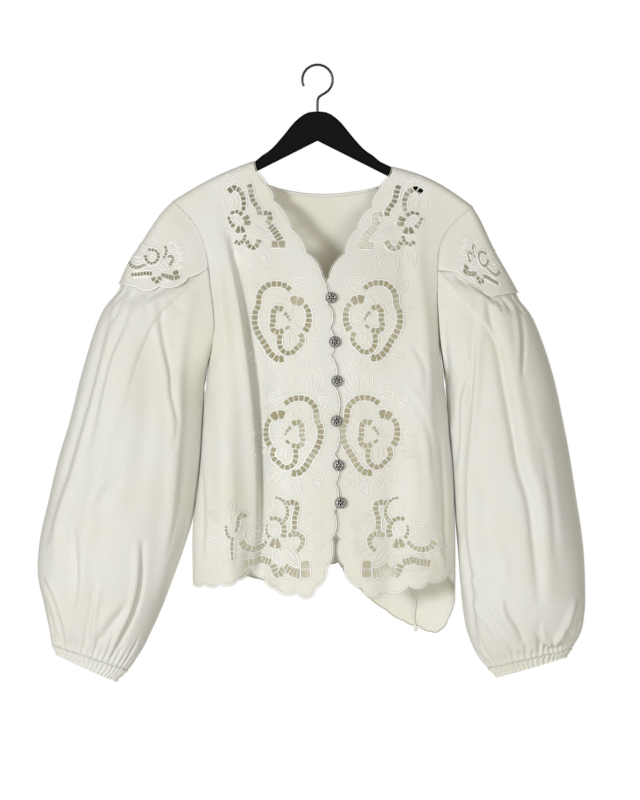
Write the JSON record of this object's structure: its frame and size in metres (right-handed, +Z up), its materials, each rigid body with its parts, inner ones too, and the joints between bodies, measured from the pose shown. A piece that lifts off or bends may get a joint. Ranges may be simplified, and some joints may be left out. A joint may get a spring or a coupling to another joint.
{
  "type": "blouse on a hanger",
  "caption": "Long-sleeved cotton blouse with cutwork fronts, scalloped edges and balloon sleeves, buttoned and hung on a plain hanger.",
  "frame": {"origin": "inside top of the hanger's hook, where the rail carries it", "axes": "+Z up, +Y from the front of the blouse to its back, +X to the wearer's left"},
  "size_m": [0.7424, 0.1287, 0.8393],
  "materials": {
    "cotton": "washed plain-woven cotton with satin-stitched cutwork",
    "binding": "folded cotton tape and cord",
    "button_metal": "dark antique silver with worn bright edges",
    "hanger_black": "satin black",
    "hook_steel": "dark plated wire"
  },
  "bodies": {
    "root": {"front_right": "cotton", "front_left": "cotton", "back": "cotton", "neck_binding": "binding", "cap_right": "cotton", "cap_left": "cotton", "sleeve_right": "cotton", "sleeve_left": "cotton", "cuff_right": "cotton", "cuff_left": "cotton", "button_1": "button_metal", "button_2": "button_metal", "button_3": "button_metal", "button_4": "button_metal", "button_5": "button_metal", "button_6": "button_metal", "hanger": "hanger_black", "hanger_hook": "hook_steel", "hem_tie": "binding", "hem_tie_knot": "binding"}
  },
  "joints": []
}
